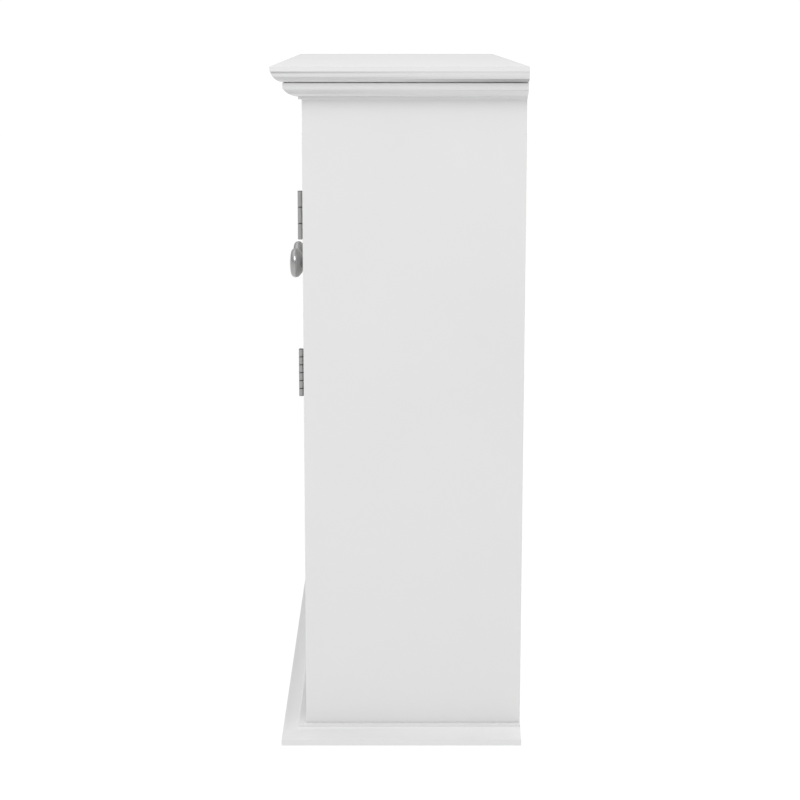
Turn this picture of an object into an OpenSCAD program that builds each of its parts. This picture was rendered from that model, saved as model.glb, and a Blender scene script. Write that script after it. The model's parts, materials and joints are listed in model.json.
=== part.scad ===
// Hanging wall cabinet of painted board: two inset frame-and-panel doors over an open shelf,
// under an overhanging top board with a cornice moulding, on an overhanging base board.
// +X is to the viewer's right, -Y is the front and +Z is up. The origin is on the wall plane,
// midway between the two holes that the cabinet hangs by.

/* [Cabinet] */
// Width over the two side panels
body_w = 524; // [430:1:700]
// Depth from the wall to the front of the side panels and doors
body_d = 199.5; // [165:0.5:300]
// Height from the underside of the base board to the top
cabinet_h = 622; // [515:1:800]
// Thickness of the side panels, the top panel and the fixed shelf
panel_t = 15; // [12:0.5:19]
// Clear height of the open shelf under the doors
open_shelf_h = 211; // [120:1:250]
// Thickness of the hardboard back
back_t = 3; // [2.5:0.5:6]
// Width of the rebate that holds the back in each side panel
rebate_w = 7; // [5:0.5:9]

/* [Top board] */
// Thickness of the top board
top_t = 14.6; // [14:0.1:22]
// How far the top board stands out past the body, at the front and the sides
top_reach = 26.5; // [22:0.5:40]
// Height of the upright band along the top board's edge
top_land = 4.5; // [3:0.5:6]
// Width of the small shelf under that band
top_quirk = 0.6; // [0.4:0.1:2]
// How far the round under the band comes in
top_round_in = 10.7; // [9:0.1:12]
// Radius of the round
top_round_r = 12; // [10:0.5:20]
// Height of the shadow step under the round
top_step_h = 0.7; // [0.5:0.1:2]
// How far the shadow step comes in past the round
top_step_in = 5; // [1:0.5:7]

/* [Cornice] */
// Height of the cornice moulding
cornice_h = 14.8; // [13:0.1:20]
// How far the cornice stands out past the body
cornice_reach = 16; // [15:0.5:19]
// Height of the upright band at the top of the cornice
cornice_land = 4.8; // [3:0.1:5]
// Height of the small upright step at its foot
cornice_foot_h = 2.4; // [1:0.1:3]
// How far that step stands out past the body
cornice_foot = 3; // [1:0.5:4]
// Radius of the round between the band and the step
cornice_round_r = 18; // [14:0.5:30]

/* [Base board] */
// Thickness of the base board
base_t = 13.8; // [13.2:0.1:22]
// How far the base board stands out past the body
base_reach = 22; // [18:0.5:35]
// Height of the upright band along the base board's edge
base_land = 5.5; // [4:0.5:6]
// Height of the upright step at the top of the slope
base_step_h = 1.7; // [0.8:0.1:2]
// Width of the flat ledge between that step and the body
base_ledge = 6.75; // [4:0.25:9]
// Radius of the shallow hollow between the band and the step
base_hollow_r = 30; // [20:1:80]

/* [Doors] */
// Thickness of the door frames
door_t = 18; // [16:0.5:22]
// Width of the door stiles and rails
frame_w = 57; // [46:0.5:70]
// Gap between a door and the side panel that it is hinged to
hinge_gap = 2.2; // [1.8:0.1:3]
// Gap above and below the doors
end_gap = 2; // [1.5:0.1:3]
// Gap between the two doors
middle_gap = 2.6; // [2:0.1:4]
// Thickness of the beaded panel and width of the groove that holds it
leaf_panel_t = 6; // [5:0.5:7]
// How far the panel's face lies behind the frame's face
panel_set = 6; // [4:0.5:7]
// Depth of the groove in the stiles and rails
groove_d = 9; // [7:0.5:12]
// How far the panel's edges and the rails' tenons go into the groove
tongue = 8; // [5:0.5:8]
// Width of the bevel around the panel
bevel = 3; // [1:0.5:4]
// Distance between the beads of the panel
bead_pitch = 26; // [18:1:50]
// Radius of a bead
bead_r = 2.6; // [1.5:0.1:2.8]
// Width of the fine groove on each side of a bead
quirk_w = 0.9; // [0.5:0.1:1.5]
// Depth of those fine grooves
quirk_d = 1.8; // [1:0.1:2.5]

/* [Hinges] */
// Height of a hinge
hinge_h = 44; // [36:1:50]
// Distance between the middles of a door's two hinges
hinge_spacing = 144.2; // [110:0.1:180]
// Radius of the hinge barrel
barrel_r = 2.5; // [2:0.1:3.5]
// Radius of the hinge pin
pin_r = 1; // [0.8:0.1:1.5]
// How far a hinge leaf reaches behind the front plane
leaf_w = 14; // [12:0.5:15]
// Gap between the two closed leaves
leaf_gap = 0.2; // [0.1:0.05:0.4]
// Number of knuckles on the upper hinges
knuckles_upper = 3; // [3:2:7]
// Number of knuckles on the lower hinges
knuckles_lower = 6; // [3:1:8]

/* [Knobs] */
// Radius of the mushroom knob's head
knob_r = 15; // [12:0.5:18]
// How far the knob stands out from the door
knob_reach = 24; // [22:0.5:32]
// Distance from the knob's tip back to its widest point
knob_crown = 6; // [5.5:0.5:9]
// Thickness of the head behind its widest point
knob_under = 9.5; // [7:0.5:10]
// Radius of the head's round rim
knob_rim_r = 5; // [3:0.5:5]
// Radius of the knob's neck
knob_neck_r = 5; // [4:0.5:7]
// Radius of the knob's foot
knob_foot_r = 8.5; // [8:0.5:12]
// Thickness of the knob's foot
knob_foot_t = 1.6; // [1:0.1:3]

/* [Shelf and back rail] */
// Thickness of the adjustable shelf
shelf_t = 12; // [9:0.5:18]
// Gap between the adjustable shelf and each side panel
shelf_gap = 1.5; // [1.2:0.1:3]
// Distance between the shelf pin holes, up and down
pin_pitch = 32; // [25:1:40]
// Number of holes in each upright row
pin_rows = 5; // [3:2:5]
// Radius of a shelf pin
shelf_pin_r = 2.5; // [2:0.5:3]
// Height of the hanging rail
rail_h = 60; // [45:1:80]
// Thickness of the hanging rail
rail_t = 15; // [12:0.5:19]
// Radius of the two holes that take the wall screws
wall_hole_r = 2.75; // [2.25:0.25:4]
// Distance from a side panel in to the nearer wall hole
wall_hole_inset = 43.8; // [30:0.1:60]

/* [Hidden] */
past = 1;                 // how far a cutting shape runs past what it cuts
slack = 0.05;             // room around a screw, dowel or pin that is glued or screwed in
press = 0.01;             // how much a hinge pin is larger than the knuckles that grip it
turn_slack = 0.05;        // room around a hinge pin in the knuckles that turn on it

paint = [0.95, 0.95, 0.94];
paint_door = [0.93, 0.93, 0.92];
nickel = [0.62, 0.61, 0.59];
zinc = [0.75, 0.76, 0.78];
beech = [0.85, 0.70, 0.50];
plastic = [0.90, 0.90, 0.88];
ferrite = [0.15, 0.15, 0.16];

// Levels and faces of the carcass
x_out = body_w / 2;                           // outer face of a side panel
x_in = x_out - panel_t;                       // its inner face
z_carcass_top = cabinet_h - top_t;            // where the top board lies
z_top_under = z_carcass_top - panel_t;        // ceiling of the cupboard
z_shelf_under = base_t + open_shelf_h;        // underside of the fixed shelf
z_floor = z_shelf_under + panel_t;            // floor of the cupboard
z_wall_holes = z_top_under - rail_h / 2;

// Doors, given for the right one
x_lock = middle_gap / 2;
x_hinge = x_in - hinge_gap;
z_door = z_floor + end_gap;
door_h = z_top_under - end_gap - z_door;
z_door_mid = z_door + door_h / 2;
y_door_back = -body_d + door_t;
x_rail_lock = x_lock + frame_w;
x_rail_hinge = x_hinge - frame_w;
z_rail_low = z_door + frame_w;
z_rail_high = z_door + door_h - frame_w;
rail_len = x_rail_hinge - x_rail_lock;
bead_count = floor(rail_len / bead_pitch);

// Hinges
leaf_t = (hinge_gap - leaf_gap) / 2;
x_axis = x_in - hinge_gap / 2;
y_axis = -body_d - barrel_r;
knuckle_room = 0.3;                           // between knuckles, and from barrel to plate
z_hinges = [z_door_mid + hinge_spacing / 2, z_door_mid - hinge_spacing / 2];
knuckles = [knuckles_upper, knuckles_lower];
leaf_screw_r = 1.4;
leaf_screw_from_end = 8;                      // from the hinge's end to the middle of a screw
leaf_screw_z = hinge_h / 2 - leaf_screw_from_end;
leaf_screw_y = -body_d + (leaf_w + knuckle_room) / 2;
skin = 3;                                     // wood left past a hole that stops inside a board
side_screw_len = panel_t - skin;
door_screw_len = 14;

// Knob screw
knob_screw_r = 2;
knob_thread = 9;                              // length of screw inside the knob
knob_screw_head = [4, 2.2];                   // radius and thickness
x_knob = x_lock + frame_w / 2;

// Magnetic catch, under the top panel and behind the door's lock stile
catch_w = 30;
catch_h = 12;
catch_d = 15;
catch_wall = 1.5;
catch_ear = 8;                                // width of the ear at each end, which takes a screw
catch_ear_t = 3;
catch_gap = 0.3;                              // air between pole plates and strike plate
catch_in = 36.7;                              // from the door's free edge to the catch's middle
magnet_t = 5;
pole_t = 1.2;
pole_out = 0.8;                               // how far the pole plates stand out of the housing
strike = [34, 1, 9];                          // width, thickness and height
strike_drop = 5;                              // from the door's top to the strike plate's middle
x_catch = x_lock + catch_in;
z_strike = z_door + door_h - strike_drop;
y_catch = y_door_back + strike[1] + catch_gap + pole_out;
catch_screw = [1.4, 11];                      // radius and length
catch_screw_head = [2.7, 1.4];                // radius and thickness

// Fixings
dowel_r = 4;
dowel_len = 30;
dowel_in_side = 10;
rail_dowel_r = 3;
cam_r = 7.4;
cam_h = panel_t - skin;
cam_from_end = 24;                            // from the panel's end to the cam's middle
cam_bolt_r = 2.4;
cam_bolt_neck_r = 1.8;
cam_bolt_head = [2.8, 3];
cam_bolt_collar = 2;
bolt_in_side = 11;
cap_r = 8.8;
cap_t = 1;
cam_in = 40;                                  // from the wall and from the front
dowel_in = 68;
y_cams = [-cam_in, cam_in - body_d];
y_dowels = [-dowel_in, dowel_in - body_d];
z_cams = [z_shelf_under, z_top_under];        // undersides of the two panels held by cams
head_ratio = 1.72;                            // a countersunk head's radius over its shank's
base_screw = [2, 40];
top_screw = [1.75, 25];
rail_screw = [1.75, 35];
base_screw_in = 35;
top_screw_in = 50;
y_base_screws = [-base_screw_in, base_screw_in - body_d];
y_top_screws = [-top_screw_in, top_screw_in - body_d];
x_top_screws = x_in * 3 / 5;
x_rail_screws = [-x_in / 2, 0, x_in / 2];
brad = [0.6, 25];
brad_sunk = 1;
brad_in = 30;
z_brads = z_carcass_top - cornice_land / 2;
y_side_brads = [-brad_in, brad_in - body_d];
x_front_brads = [-x_in * 2 / 3, 0, x_in * 2 / 3];
nail = [0.8, 15];
nail_head = [2.2, 0.6];
nail_in = 25;                                 // from the base board and the hanging rail
nails_up = 4;                                 // nails along each side, clear of the rail's dowels
x_side_nails = x_in + rebate_w / 2;
x_shelf_nails = [-x_in * 3 / 4, -x_in / 4, x_in / 4, x_in * 3 / 4];
shelf_pin_in = 8;
shelf_pin_out = 9;
pin_collar = [4, 1];
pin_in = 37;                                  // from the back and from the door to the pins
z_shelf_pins = (z_floor + z_top_under) / 2;
y_pins = [-back_t - pin_in, y_door_back + pin_in];
shelf_back_gap = 1.5;
shelf_setback = 6;                            // from the door's back to the shelf's front edge
z_shelf = z_shelf_pins + shelf_pin_r;

$fn = 64;

// ---- Helpers ----

// Everything below is drawn up from the underside of the base board and hung here
module hung() translate([0, 0, -z_wall_holes]) children();

module left() mirror([1, 0, 0]) children();

module both_sides() {
    children();
    left() children();
}

// A block between two opposite corners
module block(a, b) translate(a) cube(b - a);

// An outline in Y and Z, drawn out along X
module along_x(length) rotate([90, 0, 90]) linear_extrude(length) children();

// An outline in X and Z, drawn out from the wall towards the front
module along_y(length) rotate([90, 0, 0]) linear_extrude(length) children();

// Middle of the arc from a to b that bends around a point on its left
function arc_middle(a, b, r) =
    let (half = norm(b - a) / 2)
    (a + b) / 2 + sqrt(r * r - half * half) / (2 * half) * [a[1] - b[1], b[0] - a[0]];

// ---- Edge mouldings: what the cutter takes off, from the outer lower corner of the edge ----

module top_cut() {
    high = [-top_quirk, top_t - top_land];
    low = [-top_round_in, top_step_h];
    difference() {
        polygon([high, low, [low[0], -past], [past, -past], [past, high[1]]]);
        translate(arc_middle(low, high, top_round_r)) circle(r = top_round_r);
    }
    translate([low[0] - top_step_in, -past]) square([top_step_in + past, top_step_h + past]);
}

module cornice_cut() {
    high = [0, cornice_h - cornice_land];
    low = [cornice_foot - cornice_reach, cornice_foot_h];
    difference() {
        polygon([high, low, [low[0], -past], [past, -past], [past, high[1]]]);
        translate(arc_middle(low, high, cornice_round_r)) circle(r = cornice_round_r);
    }
}

module base_cut() {
    low = [0, base_land];
    high = [base_ledge - base_reach, base_t - base_step_h];
    polygon([low, high, [high[0], base_t + past], [past, base_t + past], [past, low[1]]]);
    intersection() {
        translate([high[0], low[1]]) square([-high[0], high[1] - low[1]]);
        translate(arc_middle(high, low, base_hollow_r)) circle(r = base_hollow_r);
    }
}

// Plans of the moulding along the front and along the right side, which meet in a mitre
function front_plan(far) = [
    [past - x_out, past - body_d], [x_out - past, past - body_d],
    [x_out + far, -body_d - far], [-x_out - far, -body_d - far]
];
function side_plan(far) = [
    [x_out - past, past - body_d], [x_out + far, -body_d - far], [x_out + far, past], [x_out - past, past]
];

module cut_to(plan, thick) translate([0, 0, -past]) linear_extrude(thick + 2 * past) polygon(plan);

// A length of moulding along the front, standing out by reach, with its edge cut by the child outline
module front_run(reach, thick) intersection() {
    translate([-x_out - reach, 0, 0]) along_x(2 * (x_out + reach)) difference() {
        translate([-body_d - reach, 0]) square([reach, thick]);
        mirror([1, 0]) translate([body_d + reach, 0]) children();
    }
    cut_to(front_plan(reach + past), thick);
}

// The same along the right side
module side_run(reach, thick) intersection() {
    along_y(body_d + reach) difference() {
        translate([x_out, 0]) square([reach, thick]);
        translate([x_out + reach, 0]) children();
    }
    cut_to(side_plan(reach + past), thick);
}

// A board over the whole body, with the moulded edge on its front and sides
module moulded_board(reach, thick) {
    block([-x_out, -body_d, 0], [x_out, 0, thick]);
    front_run(reach, thick) children();
    both_sides() side_run(reach, thick) children();
}

// ---- Fasteners, drawn with the head's face at z = 0 and the point down ----

module countersunk(size, room = 0) {
    r = size[0] + room;
    head = size[0] * head_ratio;
    translate([0, 0, -size[1] - room]) cylinder(r = r, h = size[1] + room);
    translate([0, 0, -head + size[0]]) cylinder(r1 = r, r2 = head + room, h = head - size[0]);
}

module cross_recess(r) {
    for (turn = [0, 90]) rotate(turn) translate([-r, -r / 5, -r / 2]) cube([2 * r, r * 2 / 5, r]);
}

module screw(size) {
    difference() {
        countersunk(size);
        cross_recess(size[0]);
    }
}

module screw_hole(size) {
    countersunk(size, slack);
    cylinder(r = size[0] * head_ratio + slack, h = past);
}

// A plain round hole or peg from z = 0 down
module peg(r, depth, room = 0) translate([0, 0, -depth]) cylinder(r = r + room, h = depth);

// ---- Where the fixings go; each stands at its place with its point along the hole ----

module at_base_screws() {
    for (y = y_base_screws) both_sides()
        translate([x_in + panel_t / 2, y, 0]) mirror([0, 0, 1]) children();
}

module at_top_screws() {
    for (y = y_top_screws) both_sides()
        translate([x_top_screws, y, z_top_under]) mirror([0, 0, 1]) children();
}

module at_rail_screws() {
    for (x = x_rail_screws) translate([x, -back_t - rail_t / 2, z_carcass_top]) children();
}

// Pointing outwards through the right side panel's inner face
module at_right_cams() {
    for (z = z_cams, y = y_cams) translate([x_in, y, z + panel_t / 2]) rotate([0, -90, 0]) children();
}

module at_right_dowels() {
    for (z = z_cams, y = y_dowels) translate([x_in, y, z + panel_t / 2]) rotate([0, -90, 0]) children();
}

module at_right_rail_dowels() {
    for (z = [z_top_under - rail_h / 4, z_top_under - rail_h * 3 / 4])
        translate([x_in, -back_t - rail_t / 2, z]) rotate([0, -90, 0]) children();
}

module at_right_shelf_holes() {
    for (row = [-(pin_rows - 1) / 2 : (pin_rows - 1) / 2], y = y_pins)
        translate([x_in, y, z_shelf_pins + row * pin_pitch]) rotate([0, -90, 0]) children();
}

module at_right_brads() {
    for (y = y_side_brads) translate([x_out + cornice_reach - brad_sunk, y, z_brads])
        rotate([0, 90, 0]) children();
}

module at_front_brads() {
    for (x = x_front_brads) translate([x, -body_d - cornice_reach + brad_sunk, z_brads])
        rotate([90, 0, 0]) children();
}

// Driven forwards through the back
module at_nails() {
    low = base_t + nail_in;
    high = z_top_under - rail_h - nail_in;
    for (n = [0 : nails_up - 1]) both_sides()
        translate([x_side_nails, 0, low + (high - low) * n / (nails_up - 1)]) rotate([-90, 0, 0]) children();
    for (x = x_shelf_nails, z = z_cams) translate([x, 0, z + panel_t / 2]) rotate([-90, 0, 0]) children();
}

module at_right_side_leaf_screws() {
    for (z = z_hinges, up = [-1, 1])
        translate([x_in - leaf_t, leaf_screw_y, z + up * leaf_screw_z]) rotate([0, -90, 0]) children();
}

module at_right_door_leaf_screws() {
    for (z = z_hinges, up = [-1, 1])
        translate([x_hinge + leaf_t, leaf_screw_y, z + up * leaf_screw_z]) rotate([0, 90, 0]) children();
}

module at_wall_holes() {
    both_sides() translate([x_in - wall_hole_inset, 0, z_wall_holes]) rotate([-90, 0, 0]) children();
}

module at_catch_screws() {
    for (side = [-1, 1]) translate([x_catch + side * (catch_w + catch_ear) / 2, y_catch + catch_d / 2,
        z_top_under - catch_ear_t]) mirror([0, 0, 1]) children();
}

// ---- Carcass ----

module base_board() color(paint) difference() {
    union() moulded_board(base_reach, base_t) base_cut();
    at_base_screws() screw_hole(base_screw);
}

module side_right() color(paint) difference() {
    block([x_in, -body_d, base_t], [x_out, 0, z_carcass_top]);
    block([x_in - past, -back_t, base_t - past], [x_in + rebate_w, past, z_carcass_top + past]);
    at_base_screws() screw_hole(base_screw);
    at_right_cams() peg(cam_bolt_r, bolt_in_side, slack);
    at_right_dowels() peg(dowel_r, dowel_in_side + slack, slack);
    at_right_rail_dowels() peg(rail_dowel_r, dowel_in_side + slack, slack);
    at_right_shelf_holes() peg(shelf_pin_r, shelf_pin_in + past, slack);
    at_right_side_leaf_screws() peg(leaf_screw_r, side_screw_len + slack, slack);
    at_right_brads() peg(brad[0], brad[1] + slack, slack);
    at_nails() peg(nail[0], nail[1] + slack, slack);
}

module side_left() left() side_right();

// Holes in the ends of a panel held by cams, and the cams' pockets in its upper face
module cam_panel(z) difference() {
    block([-x_in, -body_d, z], [x_in, -back_t, z + panel_t]);
    both_sides() {
        for (y = y_cams) {
            translate([x_in + past, y, z + panel_t / 2]) rotate([0, -90, 0])
                cylinder(r = cam_bolt_head[0] + slack, h = cam_from_end + past);
            translate([x_in - cam_from_end, y, z + panel_t - cam_h])
                cylinder(r = cam_r + slack, h = cam_h + past);
        }
        for (y = y_dowels) translate([x_in + past, y, z + panel_t / 2]) rotate([0, -90, 0])
            cylinder(r = dowel_r + slack, h = dowel_len - dowel_in_side + past + slack);
    }
    at_nails() peg(nail[0], nail[1] + slack, slack);
}

module fixed_shelf() color(paint) cam_panel(z_shelf_under);

module top_panel() color(paint) difference() {
    cam_panel(z_top_under);
    at_top_screws() screw_hole(top_screw);
    at_rail_screws() screw_hole(rail_screw);
    at_front_brads() peg(brad[0], brad[1] + slack, slack);
    both_sides() at_catch_screws() peg(catch_screw[0], catch_screw[1] + slack, slack);
}

module top_board() color(paint) difference() {
    translate([0, 0, z_carcass_top]) union() moulded_board(top_reach, top_t) top_cut();
    at_top_screws() peg(top_screw[0], top_screw[1] + slack, slack);
}

module at_cornice() translate([0, 0, z_carcass_top - cornice_h]) children();

module cornice_front() color(paint) difference() {
    at_cornice() front_run(cornice_reach, cornice_h) cornice_cut();
    at_front_brads() peg(brad[0], brad[1], slack);
}

module cornice_right() color(paint) difference() {
    at_cornice() side_run(cornice_reach, cornice_h) cornice_cut();
    at_right_brads() peg(brad[0], brad[1], slack);
}

module cornice_left() left() cornice_right();

module back_panel() color(paint) difference() {
    block([-x_in - rebate_w, -back_t, base_t], [x_in + rebate_w, 0, z_carcass_top]);
    at_nails() peg(nail[0], nail[1], slack);
    at_nails() translate([0, 0, past]) peg(nail_head[0], nail_head[1] + past, slack);
    at_wall_holes() translate([0, 0, past]) peg(wall_hole_r, back_t + 2 * past);
}

module hanging_rail() color(paint) difference() {
    block([-x_in, -back_t - rail_t, z_top_under - rail_h], [x_in, -back_t, z_top_under]);
    both_sides() at_right_rail_dowels() mirror([0, 0, 1])
        peg(rail_dowel_r, dowel_len - dowel_in_side + slack, slack);
    at_rail_screws() peg(rail_screw[0], rail_screw[1] + slack, slack);
    at_wall_holes() translate([0, 0, -back_t + past]) peg(wall_hole_r, rail_t + 2 * past);
}

module adjustable_shelf() color(paint) block(
    [-x_in + shelf_gap, y_door_back + shelf_setback, z_shelf],
    [x_in - shelf_gap, -back_t - shelf_back_gap, z_shelf + shelf_t]
);

// A pin in the middle hole of each of the four rows, with a collar against the panel
module shelf_pins() color(nickel) both_sides() for (y = y_pins)
    translate([x_in, y, z_shelf_pins]) rotate([0, 90, 0]) {
        translate([0, 0, -shelf_pin_out]) cylinder(r = shelf_pin_r, h = shelf_pin_out + shelf_pin_in);
        translate([0, 0, -pin_collar[1]]) cylinder(r = pin_collar[0], h = pin_collar[1]);
    }

// ---- Carcass fixings ----

module cam_locks() color(zinc) both_sides() for (z = z_cams, y = y_cams)
    translate([x_in - cam_from_end, y, z + panel_t]) difference() {
        peg(cam_r, cam_h);
        cross_recess(cam_r / 2);
        translate([0, 0, -panel_t / 2]) rotate([0, 90, 0])
            cylinder(r = cam_bolt_head[0] + slack, h = cam_r + past);
        translate([0, 0, -panel_t / 2]) sphere(r = cam_bolt_head[0] + slack);
    }

module cam_bolts() color(zinc) both_sides() at_right_cams() {
    peg(cam_bolt_r, bolt_in_side - slack);
    cylinder(r = cam_bolt_head[0], h = cam_bolt_collar);
    cylinder(r = cam_bolt_neck_r, h = cam_from_end - cam_bolt_head[1]);
    translate([0, 0, cam_from_end - cam_bolt_head[1]]) cylinder(r = cam_bolt_head[0], h = cam_bolt_head[1]);
}

// Press-in covers over the cams that show on the cupboard's floor
module cam_caps() color(plastic) both_sides() for (y = y_cams)
    translate([x_in - cam_from_end, y, z_floor]) cylinder(r = cap_r, h = cap_t);

module dowels() color(beech) both_sides() {
    at_right_dowels() translate([0, 0, -dowel_in_side]) cylinder(r = dowel_r, h = dowel_len);
    at_right_rail_dowels() translate([0, 0, -dowel_in_side]) cylinder(r = rail_dowel_r, h = dowel_len);
}

module base_screws() color(zinc) at_base_screws() screw(base_screw);

module top_board_screws() color(zinc) at_top_screws() screw(top_screw);

module rail_screws() color(zinc) at_rail_screws() screw(rail_screw);

module cornice_brads() color(zinc) {
    both_sides() at_right_brads() peg(brad[0], brad[1]);
    at_front_brads() peg(brad[0], brad[1]);
}

module back_nails() color(zinc) at_nails() {
    peg(nail[0], nail[1]);
    peg(nail_head[0], nail_head[1]);
}

// ---- Magnetic catches, drawn for the right door ----

module catch_housing_right() color(plastic) difference() {
    union() {
        block([x_catch - catch_w / 2, y_catch, z_top_under - catch_h],
            [x_catch + catch_w / 2, y_catch + catch_d, z_top_under]);
        block([x_catch - catch_w / 2 - catch_ear, y_catch, z_top_under - catch_ear_t],
            [x_catch + catch_w / 2 + catch_ear, y_catch + catch_d, z_top_under]);
    }
    catch_core(slack, past);
    at_catch_screws() peg(catch_screw[0], catch_ear_t + past, slack);
}

module catch_housing_left() left() catch_housing_right();

// The block of magnet and pole plates, from the housing's mouth to its back wall
module catch_core(room, out) {
    half = catch_w / 2 - catch_wall;
    block([x_catch - half - room, y_catch - out, z_strike - magnet_t / 2 - pole_t - room],
        [x_catch + half + room, y_catch + catch_d - catch_wall, z_strike + magnet_t / 2 + pole_t + room]);
}

module catch_magnets() color(ferrite) both_sides() {
    half = catch_w / 2 - catch_wall;
    block([x_catch - half, y_catch, z_strike - magnet_t / 2],
        [x_catch + half, y_catch + catch_d - catch_wall, z_strike + magnet_t / 2]);
}

module catch_pole_plates() color(zinc) both_sides() {
    half = catch_w / 2 - catch_wall;
    for (z = [z_strike - magnet_t / 2 - pole_t, z_strike + magnet_t / 2])
        block([x_catch - half, y_catch - pole_out, z],
            [x_catch + half, y_catch + catch_d - catch_wall, z + pole_t]);
}

module catch_screws() color(zinc) both_sides() at_catch_screws() difference() {
    union() {
        peg(catch_screw[0], catch_screw[1]);
        cylinder(r = catch_screw_head[0], h = catch_screw_head[1]);
    }
    translate([0, 0, catch_screw_head[1]]) cross_recess(catch_screw[0]);
}

// ---- Hinges, drawn around the pin of a right-hand one ----

// out is 1 for the leaf on the side panel and -1 for the leaf on the door
module leaf(count, first, out, bore_r) {
    pitch = hinge_h / count;
    inner = out > 0 ? leaf_gap / 2 : -leaf_gap / 2 - leaf_t;
    difference() {
        union() {
            translate([inner, barrel_r + knuckle_room, -hinge_h / 2])
                cube([leaf_t, leaf_w - knuckle_room, hinge_h]);
            for (k = [first : 2 : count - 1]) translate([0, 0, k * pitch - hinge_h / 2 + knuckle_room / 2]) {
                cylinder(r = barrel_r, h = pitch - knuckle_room);
                translate([inner, 0, 0]) cube([leaf_t, barrel_r + 2 * knuckle_room, pitch - knuckle_room]);
            }
        }
        translate([0, 0, -hinge_h / 2 - past]) cylinder(r = bore_r, h = hinge_h + 2 * past);
    }
}

module carcass_leaf(n) color(nickel) difference() {
    translate([x_axis, y_axis, z_hinges[n]]) leaf(knuckles[n], 0, 1, pin_r - press);
    at_right_side_leaf_screws() screw_hole([leaf_screw_r, side_screw_len]);
}

module door_leaf(n) color(nickel) difference() {
    translate([x_axis, y_axis, z_hinges[n]]) leaf(knuckles[n], 1, -1, pin_r + turn_slack);
    at_right_door_leaf_screws() screw_hole([leaf_screw_r, door_screw_len]);
}

module carcass_leaf_right_upper() carcass_leaf(0);
module carcass_leaf_right_lower() carcass_leaf(1);
module carcass_leaf_left_upper() left() carcass_leaf(0);
module carcass_leaf_left_lower() left() carcass_leaf(1);
module right_leaf_upper() door_leaf(0);
module right_leaf_lower() door_leaf(1);
module left_leaf_upper() left() door_leaf(0);
module left_leaf_lower() left() door_leaf(1);

module hinge_pins() color(nickel) both_sides() for (z = z_hinges)
    translate([x_axis, y_axis, z - hinge_h / 2]) cylinder(r = pin_r, h = hinge_h);

module carcass_leaf_screws() color(nickel) both_sides()
    at_right_side_leaf_screws() screw([leaf_screw_r, side_screw_len]);

module right_leaf_screws() color(nickel)
    at_right_door_leaf_screws() screw([leaf_screw_r, door_screw_len]);

module left_leaf_screws() left() right_leaf_screws();

// ---- Doors, drawn for the right one ----

// The bevel around the panel's opening, mitred at its corners
module panel_bevel() {
    wide = bevel + past;
    intersection() {
        translate([0, 0, z_door]) linear_extrude(door_h) polygon([
            [x_rail_lock - wide, -body_d - past], [x_rail_hinge + wide, -body_d - past],
            [x_rail_hinge, -body_d + bevel], [x_rail_lock, -body_d + bevel]
        ]);
        translate([x_lock, 0, 0]) along_x(x_hinge - x_lock) polygon([
            [-body_d - past, z_rail_low - wide], [-body_d - past, z_rail_high + wide],
            [-body_d + bevel, z_rail_high], [-body_d + bevel, z_rail_low]
        ]);
    }
}

// The groove for the panel, as deep in every stile and rail
module panel_groove() block(
    [x_rail_lock - groove_d, -body_d + panel_set, z_rail_low - groove_d],
    [x_rail_hinge + groove_d, -body_d + panel_set + leaf_panel_t, z_rail_high + groove_d]
);

// The sockets for the rails' tenons, in the stiles
module tenons(length) for (z = [z_door, z_rail_high]) block(
    [x_rail_lock - length, -body_d + panel_set, z],
    [x_rail_hinge + length, -body_d + panel_set + leaf_panel_t, z + frame_w]
);

module stile(x) difference() {
    block([x, -body_d, z_door], [x + frame_w, y_door_back, z_door + door_h]);
    panel_groove();
    tenons(tongue);
    panel_bevel();
}

module rail(z) color(paint_door) difference() {
    union() {
        block([x_rail_lock, -body_d, z], [x_rail_hinge, y_door_back, z + frame_w]);
        intersection() {
            tenons(tongue);
            block([x_lock, -body_d, z], [x_hinge, y_door_back, z + frame_w]);
        }
    }
    panel_groove();
    panel_bevel();
}

module right_hinge_stile() color(paint_door) difference() {
    stile(x_rail_hinge);
    at_right_door_leaf_screws() peg(leaf_screw_r, door_screw_len + slack, slack);
}

module at_knob() translate([x_knob, -body_d, z_door_mid]) rotate([90, 0, 0]) children();

module at_strike_screw() translate([x_catch, y_door_back + strike[1], z_strike])
    rotate([-90, 0, 0]) children();

module right_lock_stile() color(paint_door) difference() {
    stile(x_lock);
    at_knob() translate([0, 0, -door_t - past]) cylinder(r = knob_screw_r + slack, h = door_t + 2 * past);
    at_strike_screw() peg(leaf_screw_r, door_screw_len + slack, slack);
}

module right_top_rail() rail(z_rail_high);
module right_bottom_rail() rail(z_door);

// Upright boards with a round bead between two fine grooves at each joint
module right_panel() color(paint_door) {
    front = -body_d + panel_set;
    middle = (x_rail_lock + x_rail_hinge) / 2;
    beads = [for (n = [0 : bead_count - 1]) middle + (n - (bead_count - 1) / 2) * bead_pitch];
    translate([0, 0, z_rail_low - tongue]) linear_extrude(z_rail_high - z_rail_low + 2 * tongue) {
        difference() {
            translate([x_rail_lock - tongue, front]) square([rail_len + 2 * tongue, leaf_panel_t]);
            for (x = beads) translate([x - bead_r - quirk_w, front - past])
                square([2 * (bead_r + quirk_w), quirk_d + past]);
        }
        for (x = beads) translate([x, front + bead_r]) circle(r = bead_r);
    }
}

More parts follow.
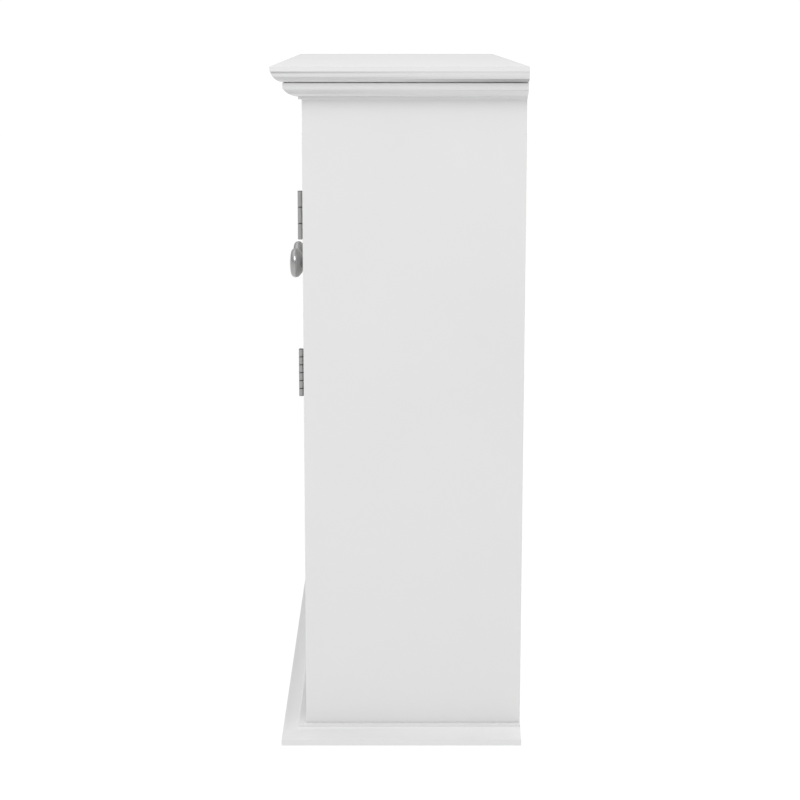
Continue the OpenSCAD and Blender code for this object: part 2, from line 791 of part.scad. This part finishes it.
// Half of the knob's outline, turned around its axis, with its foot on the door
module knob_outline() {
    z_wide = knob_reach - knob_crown;
    rim = [knob_r - knob_rim_r, z_wide];
    crown_r = (rim[0] ^ 2 + knob_crown ^ 2 - knob_rim_r ^ 2) / (2 * (knob_crown - knob_rim_r));
    under_r = (rim[0] ^ 2 + knob_under ^ 2 - knob_rim_r ^ 2) / (2 * (knob_under - knob_rim_r));
    crown_mid = [0, knob_reach - crown_r];
    under_mid = [0, z_wide - knob_under + under_r];
    crown_end = crown_mid + (rim - crown_mid) * crown_r / norm(rim - crown_mid);
    under_end = under_mid + (rim - under_mid) * under_r / norm(rim - under_mid);
    flare = knob_foot_r - knob_neck_r;
    intersection() {
        translate(crown_mid) circle(r = crown_r);
        translate(under_mid) circle(r = under_r);
        polygon([
            [0, 0], [under_end[0], 0], under_end, crown_end, [crown_end[0], knob_reach], [0, knob_reach]
        ]);
    }
    translate(rim) circle(r = knob_rim_r);
    square([knob_foot_r, knob_foot_t]);
    square([knob_neck_r, z_wide]);
    translate([knob_neck_r, knob_foot_t]) difference() {
        square(flare);
        translate([flare, flare]) circle(r = flare);
    }
}

module right_knob() color(nickel) at_knob() difference() {
    rotate_extrude() knob_outline();
    translate([0, 0, -past]) cylinder(r = knob_screw_r + slack, h = knob_thread + past + slack);
}

module right_knob_screw() color(zinc) at_knob() translate([0, 0, -door_t]) {
    cylinder(r = knob_screw_r, h = door_t + knob_thread);
    translate([0, 0, -knob_screw_head[1]]) difference() {
        cylinder(r = knob_screw_head[0], h = knob_screw_head[1]);
        cross_recess(knob_screw_r);
    }
}

module right_strike_plate() color(zinc) difference() {
    block([x_catch - strike[0] / 2, y_door_back, z_strike - strike[2] / 2],
        [x_catch + strike[0] / 2, y_door_back + strike[1], z_strike + strike[2] / 2]);
    at_strike_screw() screw_hole([leaf_screw_r, door_screw_len]);
}

module right_strike_screw() color(zinc) at_strike_screw() screw([leaf_screw_r, door_screw_len]);

module left_hinge_stile() left() right_hinge_stile();
module left_lock_stile() left() right_lock_stile();
module left_top_rail() left() right_top_rail();
module left_bottom_rail() left() right_bottom_rail();
module left_panel() left() right_panel();
module left_knob() left() right_knob();
module left_knob_screw() left() right_knob_screw();
module left_strike_plate() left() right_strike_plate();
module left_strike_screw() left() right_strike_screw();

hung() base_board();
hung() side_left();
hung() side_right();
hung() top_panel();
hung() fixed_shelf();
hung() top_board();
hung() cornice_front();
hung() cornice_left();
hung() cornice_right();
hung() back_panel();
hung() hanging_rail();
hung() adjustable_shelf();
hung() shelf_pins();
hung() cam_locks();
hung() cam_bolts();
hung() cam_caps();
hung() dowels();
hung() base_screws();
hung() top_board_screws();
hung() rail_screws();
hung() cornice_brads();
hung() back_nails();
hung() catch_housing_left();
hung() catch_housing_right();
hung() catch_magnets();
hung() catch_pole_plates();
hung() catch_screws();
hung() carcass_leaf_left_upper();
hung() carcass_leaf_left_lower();
hung() carcass_leaf_right_upper();
hung() carcass_leaf_right_lower();
hung() hinge_pins();
hung() carcass_leaf_screws();
hung() left_hinge_stile();
hung() left_lock_stile();
hung() left_top_rail();
hung() left_bottom_rail();
hung() left_panel();
hung() left_knob();
hung() left_knob_screw();
hung() left_strike_plate();
hung() left_strike_screw();
hung() left_leaf_upper();
hung() left_leaf_lower();
hung() left_leaf_screws();
hung() right_hinge_stile();
hung() right_lock_stile();
hung() right_top_rail();
hung() right_bottom_rail();
hung() right_panel();
hung() right_knob();
hung() right_knob_screw();
hung() right_strike_plate();
hung() right_strike_screw();
hung() right_leaf_upper();
hung() right_leaf_lower();
hung() right_leaf_screws();
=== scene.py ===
# %% [markdown]
# # A white wall cabinet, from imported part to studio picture
#
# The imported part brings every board, hinge and screw in its right place. This lesson dresses it:
# arrises eased with fine paper, sprayed lacquer, turned and brushed nickel, and a soft studio.
# Sizes are in metres. +X is the viewer's right, -Y is the front and +Z is up, and the origin is on
# the wall, midway between the two holes that the cabinet hangs by.

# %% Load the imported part
import json
import math

import bmesh
import bpy
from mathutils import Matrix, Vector


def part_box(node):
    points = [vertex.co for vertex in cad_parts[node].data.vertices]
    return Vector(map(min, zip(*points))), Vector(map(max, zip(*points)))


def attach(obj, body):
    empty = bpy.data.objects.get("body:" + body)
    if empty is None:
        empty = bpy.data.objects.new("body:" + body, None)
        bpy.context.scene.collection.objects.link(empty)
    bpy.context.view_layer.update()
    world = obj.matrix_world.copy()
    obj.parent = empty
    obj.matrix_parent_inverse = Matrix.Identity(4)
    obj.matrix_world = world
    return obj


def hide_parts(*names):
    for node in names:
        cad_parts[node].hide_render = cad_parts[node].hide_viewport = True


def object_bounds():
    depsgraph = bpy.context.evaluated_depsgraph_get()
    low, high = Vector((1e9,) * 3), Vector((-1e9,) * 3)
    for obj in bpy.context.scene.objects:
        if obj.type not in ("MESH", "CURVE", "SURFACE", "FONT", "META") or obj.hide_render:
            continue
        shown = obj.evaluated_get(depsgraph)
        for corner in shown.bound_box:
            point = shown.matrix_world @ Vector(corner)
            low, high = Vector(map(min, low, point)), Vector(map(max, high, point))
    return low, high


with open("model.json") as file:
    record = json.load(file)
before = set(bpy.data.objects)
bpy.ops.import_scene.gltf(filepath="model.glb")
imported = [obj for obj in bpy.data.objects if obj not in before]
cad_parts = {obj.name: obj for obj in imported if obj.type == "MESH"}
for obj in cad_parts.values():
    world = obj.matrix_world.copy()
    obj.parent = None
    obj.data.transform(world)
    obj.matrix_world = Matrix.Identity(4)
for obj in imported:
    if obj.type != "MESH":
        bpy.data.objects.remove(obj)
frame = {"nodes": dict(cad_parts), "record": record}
cad_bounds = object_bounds()
nodes = frame["nodes"]
bodies = frame["record"]["behaviour"]["bodies"]
body_of = {node: body for body, members in bodies.items() for node in members}
slot_of = {row["node"]: row["material_slot"] for row in frame["record"]["subparts"]}
MM = 0.001

print("nodes:", len(nodes), " box:", [[round(v, 4) for v in corner] for corner in cad_bounds])

# %% [markdown]
# ## Building materials with code
#
# A material in Blender is a small graph. The first helper turns the hex code of a paint chart into
# the linear values that light adds up in. The second adds one node of any kind, sets its values
# and links its inputs, so that each finish below reads as a short recipe.

# %% A colour helper and a node helper
def linear(hex_code):
    """The linear colour of an sRGB hex code such as "D4D4D4"."""
    channels = [int(hex_code[i:i + 2], 16) / 255 for i in (0, 2, 4)]
    return [c / 12.92 if c <= 0.04045 else ((c + 0.055) / 1.055) ** 2.4 for c in channels] + [1.0]


def add(tree, kind, links=None, **settings):
    """Adds a node. settings name its properties or its inputs; links map an input to a socket."""
    node = tree.nodes.new(kind)
    for name, value in settings.items():
        if hasattr(node, name):
            setattr(node, name, value)
        else:
            node.inputs[name.replace("_", " ")].default_value = value
    for name, socket in (links or {}).items():
        tree.links.new(socket, node.inputs[name])
    return node


def new_finish(name, **values):
    """A material with one Principled shader. Its even values are set on the shader's own sockets."""
    material = bpy.data.materials.new(name)
    material.use_nodes = True
    tree = material.node_tree
    shader = tree.nodes["Principled BSDF"]
    for socket, value in values.items():
        shader.inputs[socket.replace("_", " ")].default_value = value
    return material, tree, shader


print("the paint's white, as light:", [round(v, 3) for v in linear("D4D4D4")[:3]])

# %% [markdown]
# Three steps come back in nearly every finish: a colour that drifts between two close tones, a
# roughness that drifts around its middle, and a bump. Each is driven by noise whose size is given
# in metres, because Object coordinates are metres here.

# %% Three shared steps
MIDDLE_OF_NOISE = (0.3, 0.7)


def noise(tree, size, detail, vector=None):
    """Cloudy noise whose clouds are about size metres across."""
    place = vector or add(tree, "ShaderNodeTexCoord").outputs["Object"]
    return add(tree, "ShaderNodeTexNoise", {"Vector": place}, Scale=1 / size, Detail=detail).outputs["Fac"]


def drift_colour(tree, shader, pattern, dark, light):
    """The base colour runs from dark to light over the middle of the pattern's range."""
    ramp = add(tree, "ShaderNodeValToRGB", {"Fac": pattern})
    for stop, place, tone in zip(ramp.color_ramp.elements, MIDDLE_OF_NOISE, (dark, light)):
        stop.position = place
        stop.color = linear(tone)
    tree.links.new(ramp.outputs["Color"], shader.inputs["Base Color"])


def drift_roughness(tree, shader, pattern, middle, spread):
    """The roughness wanders by spread on both sides of its middle."""
    gloss = add(tree, "ShaderNodeMapRange", {"Value": pattern},
                To_Min=middle - spread, To_Max=middle + spread)
    tree.links.new(gloss.outputs["Result"], shader.inputs["Roughness"])


def bumps(tree, shader, pattern, depth):
    """The pattern raises the surface by up to depth metres."""
    bump = add(tree, "ShaderNodeBump", {"Height": pattern}, Strength=1.0, Distance=depth)
    tree.links.new(bump.outputs["Normal"], shader.inputs["Normal"])


print("noise is read between", MIDDLE_OF_NOISE)

# %% [markdown]
# ## Sprayed lacquer on board
#
# The cabinet is fibreboard that has been sealed, sanded and sprayed with white satin lacquer.
# Spray leaves a faint orange peel about three millimetres across, a sheen that is never quite
# even, and a colour that drifts by one part in a hundred over a hand's width. Kept this weak, the
# three together are what tells painted board from plain plastic.

# %% The lacquer
PEEL = 3.0 * MM
PEEL_DEPTH = 0.012 * MM
HAZE = 45 * MM
DRIFT = 180 * MM


def sprayed_lacquer(name, dark, light, roughness):
    """White lacquer: a drift of tone, a haze of sheen and a fine orange peel."""
    material, tree, shader = new_finish(name, IOR=1.5)
    drift_colour(tree, shader, noise(tree, DRIFT, 3.0), dark, light)
    drift_roughness(tree, shader, noise(tree, HAZE, 5.0), roughness, 0.05)
    bumps(tree, shader, noise(tree, PEEL, 2.0), PEEL_DEPTH)
    return material


finishes = {
    "carcass_paint": sprayed_lacquer("sprayed_satin_lacquer_on_fibreboard", "D2D2D2", "D4D4D4", 0.48),
    "door_paint": sprayed_lacquer("sprayed_satin_lacquer_on_doors", "D3D3D3", "D5D5D5", 0.45),
    "back_paint": sprayed_lacquer("rolled_paint_on_hardboard", "CDCDCC", "D0D0CF", 0.60),
}
print("orange peel:", round(PEEL / MM, 2), "mm across,", round(PEEL_DEPTH / MM, 3), "mm deep")

# %% [markdown]
# ## Nickel and zinc
#
# The hinges are plated with nickel and brushed along their length, so they mirror the room but
# blur it. Brush strokes are drawn by noise that is stretched twenty times along the stroke. The
# hidden screws and nails are zinc plated, and the cams are cast, with a sandy skin. The two tones
# of each metal lie close together, so that the rub shows without turning into stripes.

# %% The metals
BRUSH = 0.35 * MM
STRETCH = 0.05
SCRATCH = 0.006 * MM


def worked_metal(name, tones, roughness, spread, grain, depth, along=None):
    """along scales the noise down on one axis, which stretches the grain that way."""
    material, tree, shader = new_finish(name, Metallic=1.0)
    place = add(tree, "ShaderNodeTexCoord").outputs["Object"]
    if along:
        place = add(tree, "ShaderNodeMapping", {"Vector": place}, Scale=along).outputs["Vector"]
    rub = noise(tree, grain, 4.0, place)
    drift_colour(tree, shader, rub, *tones)
    drift_roughness(tree, shader, rub, roughness, spread)
    bumps(tree, shader, rub, depth)
    return material


finishes.update({
    "satin_nickel": worked_metal("brushed_satin_nickel", ("9E9E9D", "A8A8A7"), 0.36, 0.08,
                                 BRUSH, SCRATCH, (1, 1, STRETCH)),
    "zinc_steel": worked_metal("bright_zinc_plated_steel", ("B3B6BC", "BFC2C8"), 0.32, 0.08,
                               0.8 * MM, SCRATCH),
    "cam_zinc": worked_metal("cast_zinc_alloy", ("9A9B9E", "AAABAE"), 0.52, 0.08, 0.5 * MM, 0.02 * MM),
})
print("metals:", [finishes[slot].name for slot in ("satin_nickel", "zinc_steel", "cam_zinc")])

# %% [markdown]
# ## Turned nickel for the knobs
#
# A knob is polished while it spins, so its fine scratches are rings around its own axis. The knobs
# made further on carry a UV map with the turn along U and the profile along V, both in metres, so
# the rings are noise that is stretched along U.

# %% The knob's metal
RING = 0.25 * MM
RING_STRETCH = 0.01
RING_DEPTH = 0.004 * MM


def turned_metal(name, tones, roughness, spread):
    """Metal with rings around the axis that it was turned on."""
    material, tree, shader = new_finish(name, Metallic=1.0)
    turn = add(tree, "ShaderNodeUVMap", uv_map="turning").outputs["UV"]
    stretched = add(tree, "ShaderNodeMapping", {"Vector": turn}, Scale=(RING_STRETCH, 1, 1))
    rings = noise(tree, RING, 3.0, stretched.outputs["Vector"])
    drift_colour(tree, shader, rings, *tones)
    drift_roughness(tree, shader, rings, roughness, spread)
    bumps(tree, shader, rings, RING_DEPTH)
    return material


turned_nickel = turned_metal("turned_satin_nickel", ("9F9F9E", "A7A7A6"), 0.26, 0.06)
print("rings:", round(RING / MM, 2), "mm apart")

# %% [markdown]
# ## Beech, moulded plastic and ferrite
#
# Dowels are turned beech with a straight grain along their length, which runs from side to side
# here. Catch housings and cam covers are moulded plastic, with the fine texture that spark
# erosion leaves in a mould. The magnets are sintered ferrite, dull and nearly black.

# %% The small materials
def beech_wood():
    """Pale beech with its grain along X."""
    material, tree, shader = new_finish("turned_beech", IOR=1.5, Roughness=0.6)
    place = add(tree, "ShaderNodeTexCoord").outputs["Object"]
    along = add(tree, "ShaderNodeMapping", {"Vector": place}, Scale=(STRETCH, 1, 1)).outputs["Vector"]
    drift_colour(tree, shader, noise(tree, 0.8 * MM, 4.0, along), "B98E5E", "DCBB8C")
    return material


def moulded(name, dark, light, roughness, grain):
    """A moulded or pressed material with a fine even texture."""
    material, tree, shader = new_finish(name, IOR=1.46)
    texture = noise(tree, grain, 3.0)
    drift_colour(tree, shader, texture, dark, light)
    drift_roughness(tree, shader, texture, roughness, 0.06)
    bumps(tree, shader, texture, 0.01 * MM)
    return material


finishes.update({
    "beech": beech_wood(),
    "white_plastic": moulded("moulded_white_abs", "D6D6D4", "DCDCDA", 0.45, 0.4 * MM),
    "ferrite": moulded("sintered_ferrite", "1B1B1E", "26262A", 0.7, 0.3 * MM),
})
print("finishes:", sorted(finishes))

# %% [markdown]
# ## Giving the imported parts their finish
#
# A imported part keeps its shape. Only its material slots are filled, by the slot names that the
# record gives.

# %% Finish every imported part
for node, obj in nodes.items():
    obj.data.materials.clear()
    obj.data.materials.append(finishes[slot_of[node]])
print("parts in each finish:", {slot: sum(s == slot for s in slot_of.values()) for slot in finishes})

# %% [markdown]
# ## Easing the arrises
#
# A painted board never has a razor edge: the maker takes the sharpness off with a few strokes of
# paper, and the lacquer rounds it further. That fraction of a millimetre catches a thin line of
# light along every board, and is what makes separate boards read as separate. So a copy of each
# board is merged, its flat triangles are joined, and its sharp edges are bevelled.

# %% A helper that eases a board
MERGE = 0.002 * MM
FLAT = math.radians(0.6)
SHARP = math.radians(24)
SMOOTH = math.radians(38)


def new_piece(name, bm, node):
    """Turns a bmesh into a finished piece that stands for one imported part."""
    mesh = bpy.data.meshes.new(name)
    bm.to_mesh(mesh)
    bm.free()
    mesh.materials.append(finishes[slot_of[node]])
    mesh.shade_smooth()
    mesh.set_sharp_from_angle(angle=SMOOTH)
    piece = bpy.data.objects.new(name, mesh)
    bpy.context.scene.collection.objects.link(piece)
    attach(piece, body_of[node])
    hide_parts(node)
    return piece


def eased(node, radius, choose, clamp=True, paint_joint_shade=False):
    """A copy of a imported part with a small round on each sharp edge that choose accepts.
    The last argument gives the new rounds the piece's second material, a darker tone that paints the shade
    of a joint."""
    bm = bmesh.new()
    bm.from_mesh(nodes[node].data)
    bmesh.ops.remove_doubles(bm, verts=bm.verts, dist=MERGE)
    bmesh.ops.dissolve_limit(bm, angle_limit=FLAT, verts=bm.verts, edges=bm.edges)
    edges = [e for e in bm.edges if e.is_manifold and e.calc_face_angle(0) > SHARP and choose(e)]
    rounds = bmesh.ops.bevel(bm, geom=edges, offset=radius, offset_type="OFFSET", affect="EDGES",
                             segments=3, profile=0.5, clamp_overlap=clamp, material=-1)
    # Painted shade: the rounds of a joint take the darker second material.
    for face in rounds["faces"] if paint_joint_shade else ():
        face.material_index = 1
    piece = new_piece("eased_" + node, bm, node)
    weighted = piece.modifiers.new("Weighted normals", "WEIGHTED_NORMAL")
    weighted.keep_sharp = True
    return piece


print("edges that turn by more than", round(math.degrees(SHARP)), "degrees are eased")

# %% [markdown]
# Boards that are handled get the larger round. Moulded edges keep theirs small, because a cutter
# leaves them crisp and too much sanding would spoil the shadow line under the top. The radii are
# in millimetres.

# %% Ease the carcass and the doors
BOARD_EDGE = 6 * MM


def long_edge(edge):
    """True for the edges of the board itself, which are longer than those around its holes."""
    return edge.calc_length() > BOARD_EDGE


ROUNDS = {
    "side_left": 0.5, "side_right": 0.5, "fixed_shelf": 0.5, "top_panel": 0.4, "adjustable_shelf": 0.6,
    "base_board": 0.25, "top_board": 0.2, "cornice_front": 0.15, "cornice_left": 0.15,
    "cornice_right": 0.15, "hanging_rail": 0.5,
}
for side in ("left", "right"):
    ROUNDS.update({f"{side}_hinge_stile": 0.35, f"{side}_lock_stile": 0.35, f"{side}_top_rail": 0.25,
                   f"{side}_bottom_rail": 0.25, f"{side}_panel": 0.2})
for node, radius in ROUNDS.items():
    piece = eased(node, radius * MM, long_edge)
    print(f"{piece.name}: {len(piece.data.polygons)} faces")

# %% [markdown]
# ## Hinges with rounded knuckles
#
# Each knuckle of a butt hinge is a short roll with its ends slightly rounded, and the joints
# between them show as fine dark rings. The same easing does this when it is pointed at the rims
# of the barrel: level edges whose two ends both lie at the barrel's radius from the pin.
# The new rounds take a second, darker material: painted shade that stands in for the shadow in the joints.

# %% Ease the hinge leaves
KNUCKLE_ROUND = 0.35 * MM
NEAR = 0.02 * MM
# A dark nickel that paints the shade in the knuckle joints.
painted_joint_shade_nickel = worked_metal("painted_joint_shade_nickel", ("444341", "545351"), 0.55, 0.08, BRUSH, SCRATCH)


def rim_chooser(node):
    """A test for the rims of this leaf's barrel, which is as wide as the leaf's box."""
    box_low, box_high = (Vector(corner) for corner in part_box(node))
    barrel = (box_high.x - box_low.x) / 2
    pin = Vector(((box_low.x + box_high.x) / 2, box_low.y + barrel))

    def on_rim(edge):
        ends = [v.co for v in edge.verts]
        level = abs(ends[0].z - ends[1].z) < NEAR
        return level and all(abs((end.xy - pin).length - barrel) < NEAR for end in ends)
    return on_rim


# Each leaf's knuckle rims are eased and take the painted joint shade.
for node in nodes:
    if "_leaf_" in node and not node.endswith("screws"):
        piece = eased(node, KNUCKLE_ROUND, rim_chooser(node), clamp=False, paint_joint_shade=True)
        piece.data.materials.append(painted_joint_shade_nickel)
        print(f"{piece.name}: {len(piece.data.polygons)} faces")

# %% [markdown]
# ## Turned knobs
#
# A knob is turned on a lathe, and the spin operator does the same: a half outline drawn once is
# swept around an axis. The outline starts in the screw's hole, comes out over the foot, up the
# hollow neck and under the head, rounds the rim and closes on the crown. The size and the place
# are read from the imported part's box.

# %% Draw the knob's half outline
HOLE, HOLE_DEPTH = 2.05 * MM, 9.05 * MM
FOOT, FOOT_THICK, FOOT_ROUND = 8.5 * MM, 1.6 * MM, 0.35 * MM
NECK, RIM, CROWN, UNDER = 5 * MM, 5 * MM, 6 * MM, 9.5 * MM
COVE_CUT = 0.1


def arc(centre, radius, start, end, count):
    """Points (distance from the axis, distance from the door) along an arc, angles in radians."""
    angles = [start + (end - start) * i / count for i in range(count + 1)]
    return [(centre[0] + radius * math.cos(a), centre[1] + radius * math.sin(a)) for a in angles]


def dome(rim, height):
    """The radius of the arc that meets the rim's circle smoothly and rises by height on the axis."""
    return (rim[0] ** 2 + height ** 2 - RIM ** 2) / (2 * (height - RIM))


def knob_outline(radius, reach):
    """The half outline as (distance from the axis, distance from the door)."""
    rim = (radius - RIM, reach - CROWN)
    crown_r, under_r = dome(rim, CROWN), dome(rim, UNDER)
    crown_mid, under_mid = (0, reach - crown_r), (0, rim[1] - UNDER + under_r)
    crown_end = math.atan2(rim[1] - crown_mid[1], rim[0])
    under_end = math.atan2(rim[1] - under_mid[1], rim[0])
    under_start = -math.acos(NECK / under_r)
    flare = FOOT - NECK
    return ([(0, HOLE_DEPTH), (HOLE, HOLE_DEPTH), (HOLE, 0)]
            + [(FOOT - FOOT_ROUND / 2, 0), (FOOT, FOOT_ROUND / 2)]
            + arc((FOOT - FOOT_ROUND, FOOT_THICK - FOOT_ROUND), FOOT_ROUND, 0, math.pi / 2, 3)
            + arc((FOOT, FOOT_THICK + flare), flare, math.pi * 1.5 - COVE_CUT, math.pi, 10)
            + arc(under_mid, under_r, under_start, under_end, 8)
            + arc(rim, RIM, under_end, crown_end, 20)[1:]
            + arc(crown_mid, crown_r, crown_end, math.pi / 2, 12)[1:-1] + [(0, reach)])


print("points on the half outline:", len(knob_outline(15 * MM, 24 * MM)))

# %% [markdown]
# The half outline is swept in 96 steps, its doubled points on the axis are merged, and the normals
# are turned outwards, because a spin can turn a shape inside out. The UV map measures the turn in
# metres around the widest circle, and the distance travelled along the outline.

# %% Spin the knobs
STEPS = 96
ON_AXIS = 0.001 * MM


def distance_along(outline, place):
    """How far along the outline its point nearest to place lies."""
    nearest = min(range(len(outline)), key=lambda i: math.dist(outline[i], place))
    return sum(math.dist(outline[i], outline[i + 1]) for i in range(nearest))


def spun_knob(node):
    """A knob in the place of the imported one, with its outline's turn and travel as a UV map."""
    box_low, box_high = (Vector(corner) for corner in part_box(node))
    axis = Vector(((box_low.x + box_high.x) / 2, box_high.y, (box_low.z + box_high.z) / 2))
    radius, reach = (box_high.x - box_low.x) / 2, box_high.y - box_low.y
    outline = knob_outline(radius, reach)
    bm = bmesh.new()
    points = [bm.verts.new((0, -out, -r)) for r, out in outline]
    edges = [bm.edges.new(pair) for pair in zip(points, points[1:])]
    bmesh.ops.spin(bm, geom=points + edges, cent=(0, 0, 0), axis=(0, 1, 0), dvec=(0, 0, 0),
                   angle=2 * math.pi, steps=STEPS, use_merge=True)
    bmesh.ops.remove_doubles(bm, verts=bm.verts, dist=ON_AXIS)
    bmesh.ops.recalc_face_normals(bm, faces=bm.faces)
    turning = bm.loops.layers.uv.new("turning")
    travelled = {v: distance_along(outline, (v.co.xz.length, -v.co.y)) for v in bm.verts}
    for face in bm.faces:
        middle = face.calc_center_median()
        face_turn = math.atan2(middle.x, middle.z)
        for loop in face.loops:
            spot = loop.vert.co
            turn = math.atan2(spot.x, spot.z) if spot.xz.length > ON_AXIS else face_turn
            turn += 2 * math.pi * round((face_turn - turn) / (2 * math.pi))
            loop[turning].uv = (turn * radius, travelled[loop.vert])
    bmesh.ops.translate(bm, verts=bm.verts, vec=axis)
    piece = new_piece("turned_" + node, bm, node)
    piece.data.materials[0] = turned_nickel
    return piece, radius, reach


for node in ("left_knob", "right_knob"):
    piece, radius, reach = spun_knob(node)
    print(piece.name, "radius", round(radius / MM, 2), "reach", round(reach / MM, 2), "mm")

# %% [markdown]
# ## A pale studio
#
# The cabinet hangs in a white room with soft light. The dome is pale at the horizon, dimmer in the
# belt above it and bright overhead. The dim belt is what the satin top mirrors at a low angle, and
# what keeps the shadow under each moulding deep. Where the dome itself is in the picture it is an
# even white backdrop, which is one shader for the eye and another for the light. A large soft box
# in front and above brings out the mouldings, and the pale floor lies well below, because the
# cabinet hangs.

# %% Lay the floor
FLOOR_DROP = 1.3
FLOOR_HALF = 30.0
low, high = cad_bounds
centre = (Vector(low) + Vector(high)) / 2

bm = bmesh.new()
bmesh.ops.create_grid(bm, x_segments=1, y_segments=1, size=FLOOR_HALF)
bmesh.ops.translate(bm, verts=bm.verts, vec=(0, 0, low[2] - FLOOR_DROP))
floor_mesh = bpy.data.meshes.new("floor")
bm.to_mesh(floor_mesh)
bm.free()
floor = bpy.data.objects.new("floor", floor_mesh)
bpy.context.scene.collection.objects.link(floor)
floor_paint, _, _ = new_finish("matt_white_floor", Base_Color=linear("FAFAFA"), Roughness=0.9)
floor_mesh.materials.append(floor_paint)
print("floor lies", FLOOR_DROP, "m below the cabinet")

# %% [markdown]
# The dome's strength follows the height of each direction, from zero at the horizon to one
# overhead. A float curve holds values up to one, so it stores half of each strength and a map
# range doubles what comes out. Its first and last points are there from the start, and the ones
# between are added.

# %% Light the dome
HORIZON, BELT, OVERHEAD = 1.05, 0.68, 1.28
DOME = ((0.0, HORIZON), (0.02, HORIZON), (0.10, BELT), (0.45, BELT), (0.75, OVERHEAD), (1.0, OVERHEAD))

world = bpy.data.worlds.new("studio")
bpy.context.scene.world = world
world.use_nodes = True
sky = world.node_tree
direction = add(sky, "ShaderNodeTexCoord").outputs["Generated"]
height = add(sky, "ShaderNodeSeparateXYZ", {"Vector": direction}).outputs["Z"]
curve = add(sky, "ShaderNodeFloatCurve", {"Value": height})
dome_points = curve.mapping.curves[0].points
for point, (where, strength) in zip(dome_points, (DOME[0], DOME[-1])):
    point.location = (where, strength / 2)
for where, strength in DOME[1:-1]:
    dome_points.new(where, strength / 2)
for point in dome_points:
    point.handle_type = "VECTOR"
curve.mapping.update()
doubled = add(sky, "ShaderNodeMapRange", {"Value": curve.outputs["Value"]}, To_Max=2.0)
lighting = sky.nodes["Background"]
lighting.inputs["Color"].default_value = linear("FFFFFF")
sky.links.new(doubled.outputs["Result"], lighting.inputs["Strength"])
backdrop = add(sky, "ShaderNodeBackground", Color=linear("FFFFFF"), Strength=HORIZON)
seen = add(sky, "ShaderNodeLightPath").outputs["Is Camera Ray"]
mixed = add(sky, "ShaderNodeMixShader", {"Fac": seen})
sky.links.new(lighting.outputs["Background"], mixed.inputs[1])
sky.links.new(backdrop.outputs["Background"], mixed.inputs[2])
sky.links.new(mixed.outputs["Shader"], sky.nodes["World Output"].inputs["Surface"])
print("points on the dome's curve:", len(dome_points))

# %% [markdown]
# The soft box is a square lamp a little over a metre wide, above and in front of the cabinet's
# right side. Its size keeps the shadows soft, and its place gives each moulding one light edge and
# one dark one. The Standard view keeps white paint white.

# %% Hang the soft box
def soft_box(name, place, target, size, power):
    """A square area light that faces its target."""
    light = bpy.data.lights.new(name, "AREA")
    light.shape = "SQUARE"
    light.size = size
    light.energy = power
    lamp = bpy.data.objects.new(name, light)
    lamp.location = place
    lamp.rotation_euler = (Vector(target) - Vector(place)).to_track_quat("-Z", "Y").to_euler()
    bpy.context.scene.collection.objects.link(lamp)
    return lamp


lamp = soft_box("front_soft_box", (1.95, -0.8, 1.65), centre, 1.1, 22)
bpy.context.scene.view_settings.view_transform = "Standard"
print("soft box is", round((lamp.location - centre).length, 2), "m from the cabinet")

# %% [markdown]
# ## The camera
#
# The cabinet is seen square on from its right side, from a little above the top, about two metres
# away. The lens is shifted slightly, as an architectural photographer would, to frame the whole
# cabinet while the camera looks down by nine degrees.

# %% Place the camera
CAMERA_PLACE = (1.8835, -0.1235, 0.1006)
CAMERA_DOWN = math.radians(9.384)
LENS = 82.107  # millimetres, as Blender counts lenses
SHIFT = (0.0155, -0.1)
NEAR_CLIP = 0.05

camera = bpy.data.cameras.new("camera")
camera.lens = LENS
camera.shift_x, camera.shift_y = SHIFT
camera.clip_start = NEAR_CLIP
camera_object = bpy.data.objects.new("camera", camera)
bpy.context.scene.collection.objects.link(camera_object)
camera_object.location = CAMERA_PLACE
camera_object.rotation_euler = (math.pi / 2 - CAMERA_DOWN, 0, math.pi / 2)
bpy.context.scene.camera = camera_object
print("lens:", round(camera.lens, 1), "mm")

# %% [markdown]
# ## Finish
#
# The view layer is brought up to date.

# %% Finish
bpy.context.view_layer.update()
